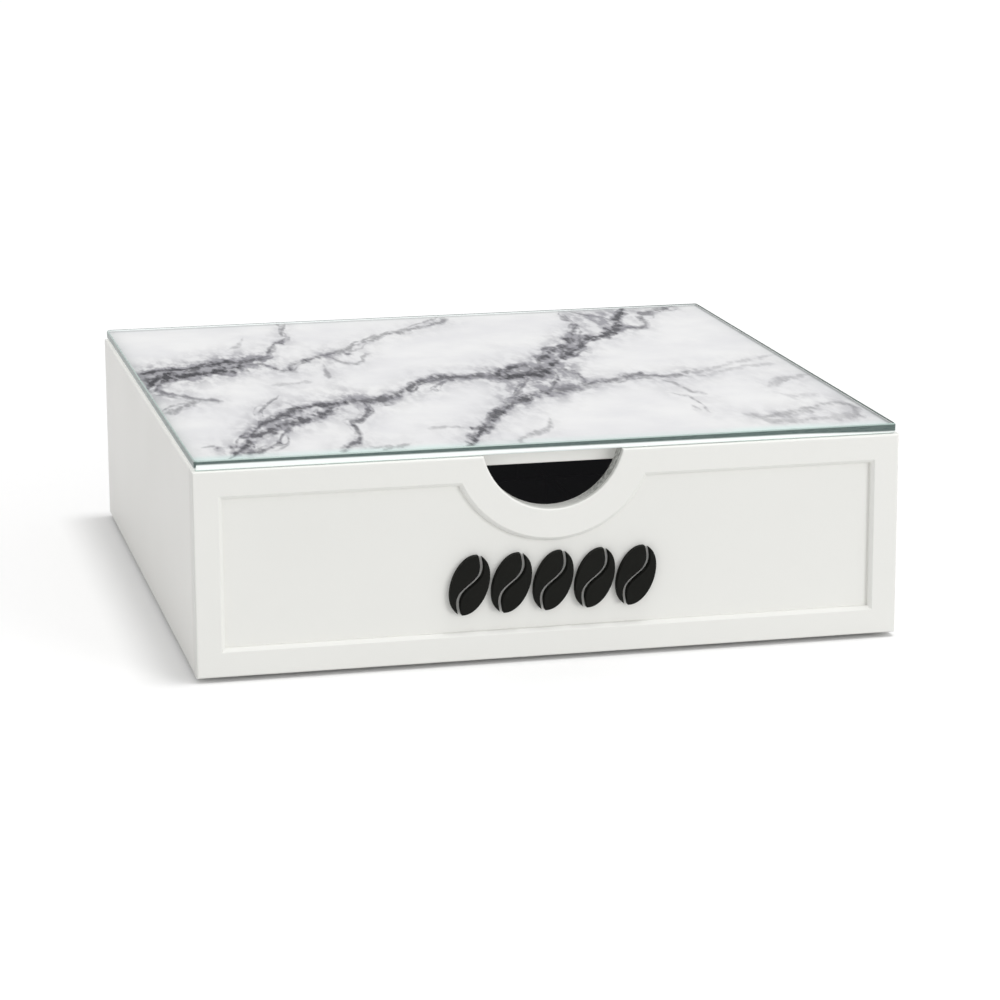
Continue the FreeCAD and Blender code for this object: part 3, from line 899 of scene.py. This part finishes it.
# Glass plate. 4 mm tempered float glass with ground arrises and corners. Looked into from the side, its edge
# is dark green above, and below it a pale band of painted light stands for the white board seen in the edge.
glass_low, glass_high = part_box("glass_plate")
glass_corner = 1.5 * mm
glass_arris = 0.5 * mm
corner_steps = 9
glass_bend = 1.5  # index of refraction
mirror_share = 0.22  # the reflection on top is weaker than plain glass would give
edge_glow = (0.12, 0.13, 0.13, 1)  # stands for light that runs inside the plate
edge_green = srgb(74, 92, 89)
edge_ground = srgb(98, 116, 112)
arris_green = srgb(168, 188, 182)
# Colours of the pale band of painted light, the white board seen in the edge
front_painted_glow = srgb(247, 252, 250)
side_painted_glow = srgb(226, 230, 228)
# How far down the dark band reaches: at the left end, towards the right, more at the right corner and on the
# left side, and how soft its lower border is
dark_left = 1.8 * mm
dark_right = 2.4 * mm
dark_corner = 0.9 * mm
dark_side = 1.2 * mm
band_blur = 0.45 * mm


def plate_loop(inset, z):
    """A rectangle with rounded corners, drawn inwards by an inset, at a height. Anticlockwise from above."""
    radius = glass_corner - inset * 0.5
    turns = np.linspace(0, math.pi / 2, corner_steps)
    corners = []
    for quarter, (sx, sy) in enumerate([(1, 1), (-1, 1), (-1, -1), (1, -1)]):
        angle = turns + quarter * math.pi / 2
        x = sx * (glass_high.x - inset - radius) + radius * np.cos(angle)
        y = sy * (glass_high.y - inset - radius) + radius * np.sin(angle)
        corners.append(np.stack([x, y, np.full_like(x, z)], axis=1))
    return np.concatenate(corners)


def clear_glass():
    """Glass seen by the camera bends light, and lamps shine straight through it."""
    material, flow = new_finish("tempered_glass")
    bent = flow.node("BsdfRefraction", sockets={"Color": grey(1), "Roughness": 0.0, "IOR": glass_bend})
    smear = flow.noise(60 * mm, detail=3.0).ramp(0.3, 0.7, 0.02, 0.06)
    gloss = flow.node("BsdfGlossy", sockets={"Color": grey(1), "Roughness": smear})
    shine = flow.node("Fresnel", sockets={"IOR": glass_bend}) * mirror_share
    seen = flow.node("MixShader", sockets={0: shine, 1: bent, 2: gloss})
    show_through(flow, seen, flow.rays("Shadow", "Diffuse"))
    return material


def ground_edge():
    """The ground edge. Its dark band deepens to the right, and below it a pale band of painted light glows
    at the front and is dimmer on the left; the right and back faces stay dark.
    """
    material, flow = new_finish("glass_edge")
    x, _, z = flow.place().axes()
    grind = flow.noise(0.5 * mm, detail=2.0, stretch=(8, 8, 1))
    drop = glass_high.z - z
    dark_until = x.ramp(-150 * mm, 110 * mm, dark_left, dark_right)
    dark_until = dark_until + x.ramp(100 * mm, 145 * mm, 0.0, dark_corner)
    across, along, _ = flow.place("Normal").axes()
    front = (along * -1).ramp(0.3, 0.6)
    left = (across * -1).ramp(0.3, 0.6)
    # Painted light: the pale band below the dark one, on the front and left faces only
    light = (drop - dark_until - left * dark_side).ramp(-band_blur, band_blur) * front.most(left)
    arris = 1 - drop.ramp(0.3 * mm, 0.6 * mm)
    dark = arris.tint(grind.tint(edge_green, edge_ground), arris_green)
    painted_glow_tone = left.tint(front_painted_glow, side_painted_glow)
    shader = coat_with(
        flow,
        Base_Color=light.tint(dark, painted_glow_tone),
        Roughness=grind.ramp(0.2, 0.8, 0.2, 0.4),
        IOR=glass_bend,
        Emission_Color=(light * (1 - left)).tint(grey(0), edge_glow),
        Emission_Strength=1.0,
    )
    show_through(flow, shader, flow.rays("Shadow"))
    return material


def glass_plate():
    """Loops from the flat underside round the edge to the flat top, closed by one face at each end."""
    rows = [
        plate_loop(glass_arris, glass_low.z),
        plate_loop(0, glass_low.z + glass_arris),
        plate_loop(0, glass_high.z - glass_arris),
        plate_loop(glass_arris, glass_high.z),
    ]
    points = np.array(rows)
    count = points.shape[1]
    sides = grid_faces(len(rows), count, False, True)
    faces = [*sides, np.arange(count)[::-1], np.arange(count) + count * (len(rows) - 1)]
    plate = piece("glass_top", points, faces, [clear_glass(), ground_edge()], "case", "tempered_glass")
    for number in range(len(sides)):
        plate.data.polygons[number].material_index = 1
    return plate


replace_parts(glass_plate(), "glass_plate")

# Floor, light and camera. A pale floor that shows white under an even sky, a soft lamp low on the right, a
# weak hazy sun above, and a long lens.
floor_half = 9.0
floor_corners = [(-1, -1), (1, -1), (1, 1), (-1, 1)]
floor_grey = 0.68  # what lights the object from below
floor_lift = 0.04  # a glow that brings the floor away from the object up to plain white
sky_grey = 0.7


def floor_white():
    """The floor that the camera and mirrors see is lighter than the one that lights the object."""
    material, flow = new_finish("floor_white")
    seen = flow.rays("Camera", "Glossy", "Transmission")
    paint = flow.node("BsdfDiffuse", sockets={"Color": seen.tint(grey(floor_grey), grey(1))})
    x, y, _ = flow.place().axes()
    far = ((x * x + y * y) ** 0.5).ramp(0.18, 0.45, 0.3, 1.0) * seen
    lift = flow.node("Emission", sockets={"Color": far.tint(grey(0), grey(floor_lift)), "Strength": 1.0})
    show(flow, flow.node("AddShader", sockets={0: paint, 1: lift}))
    return material


floor_points = [(x * floor_half, y * floor_half, 0) for x, y in floor_corners]
floor_mesh = bpy.data.meshes.new("floor")
floor_mesh.from_pydata(floor_points, [], [(0, 1, 2, 3)])
floor_mesh.materials.append(floor_white())
floor = bpy.data.objects.new("floor", floor_mesh)
bpy.context.scene.collection.objects.link(floor)

world = bpy.data.worlds.new("studio")
bpy.context.scene.world = world
world.use_nodes = True
world.node_tree.nodes.clear()
sky = Flow(world.node_tree)
sky_colour = sky.rays("Camera", "Glossy", "Transmission").tint(grey(sky_grey), grey(1))
show(sky, sky.node("Background", sockets={"Color": sky_colour, "Strength": 1.0}), "World")


def hang(light, ahead, place=(0, 0, 0)):
    """Puts a light at a place, turned to shine along a direction."""
    made = bpy.data.objects.new(light.name, light)
    made.location = place
    made.rotation_euler = Vector(ahead).to_track_quat("-Z", "Y").to_euler()
    bpy.context.scene.collection.objects.link(made)


lamp_place = (2.2, -3.2, 0.95)
lamp_aim = (0, 0, 0.04)
side_lamp = bpy.data.lights.new("side_lamp", "AREA")
side_lamp.size = 1.8
side_lamp.energy = 40
hang(side_lamp, np.subtract(lamp_aim, lamp_place).tolist(), lamp_place)

sun = bpy.data.lights.new("top_lamp", "SUN")
sun.energy = 0.9
sun.angle = math.radians(14)
hang(sun, (-0.18, 0.03, -1.0))

scene = bpy.context.scene
scene.view_settings.view_transform = "Standard"

view_azimuth = math.radians(13.09)
view_elevation = math.radians(13.38)
view_roll = math.radians(0.23)
view_distance = 1.4085
view_aim = np.array([-0.0205, -0.1397, 0.0674])
frame_pixels = 1000
lens_pixels = 3397.1  # focal length
sensor_width = 36.0


def place_camera():
    """The camera looks along the azimuth, down by the elevation, and is turned by the roll."""
    cos_a, sin_a = math.cos(view_azimuth), math.sin(view_azimuth)
    cos_e, sin_e = math.cos(view_elevation), math.sin(view_elevation)
    ahead = np.array([sin_a * cos_e, cos_a * cos_e, -sin_e])
    level = np.array([cos_a, -sin_a, 0.0])
    down = np.cross(ahead, level)
    right = math.cos(view_roll) * level + math.sin(view_roll) * down
    lower = math.cos(view_roll) * down - math.sin(view_roll) * level
    data = bpy.data.cameras.new("camera")
    data.sensor_width = sensor_width
    data.lens = sensor_width * lens_pixels / frame_pixels
    data.clip_end = 50
    made = bpy.data.objects.new("camera", data)
    turn = Matrix([[right[i], -lower[i], -ahead[i]] for i in range(3)])
    made.location = (view_aim - ahead * view_distance).tolist()
    made.rotation_euler = turn.to_euler()
    scene.collection.objects.link(made)
    scene.camera = made


place_camera()
